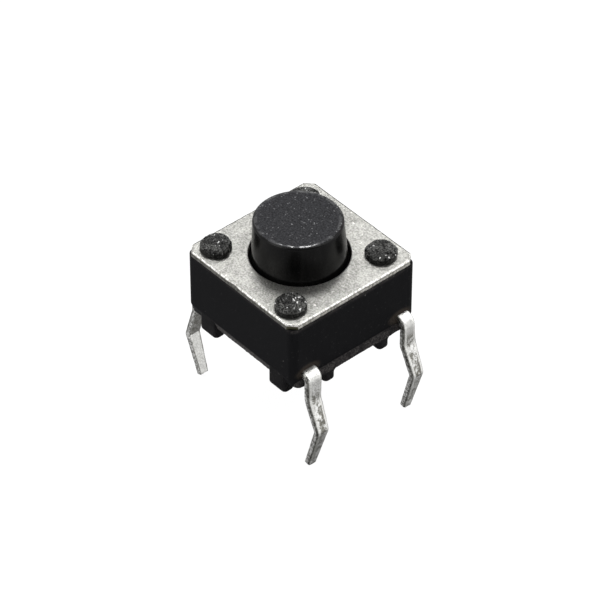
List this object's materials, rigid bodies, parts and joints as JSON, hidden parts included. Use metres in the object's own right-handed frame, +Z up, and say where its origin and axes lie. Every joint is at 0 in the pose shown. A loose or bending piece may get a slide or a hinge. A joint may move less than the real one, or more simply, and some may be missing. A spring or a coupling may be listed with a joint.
{
  "type": "tactile push button switch",
  "caption": "Small square through-hole switch with a staked metal cover, a round button that clicks down on a snap dome, and kinked legs for a circuit board.",
  "frame": {"origin": "centre of the body on the board plane that its feet stand on", "axes": "+Z up along the button's stroke axis, X across the two sides that the legs leave, Y along those sides"},
  "size_m": [0.0078, 0.006, 0.0086],
  "materials": {
    "base_plastic": "black moulded plastic, satin",
    "cover_metal": "plated sheet steel, finely grained",
    "button_plastic": "black moulded plastic, grained top and smooth side",
    "dome_metal": "thin spring metal",
    "tinned_metal": "tin plated strip with sheared edges"
  },
  "bodies": {
    "housing": {"base_housing": "base_plastic", "cover_plate": "cover_metal", "contact_dome": "dome_metal", "centre_terminal": "tinned_metal", "rim_terminal": "tinned_metal"},
    "button": {"plunger": "button_plastic"}
  },
  "joints": [
    {"name": "button_press", "type": "slide", "parent": "housing", "child": "button", "axis": [0, 0, -1], "range_m": [0, 0.00025], "stiffness_N_per_m": 6400, "deforming": ["contact_dome"]}
  ]
}
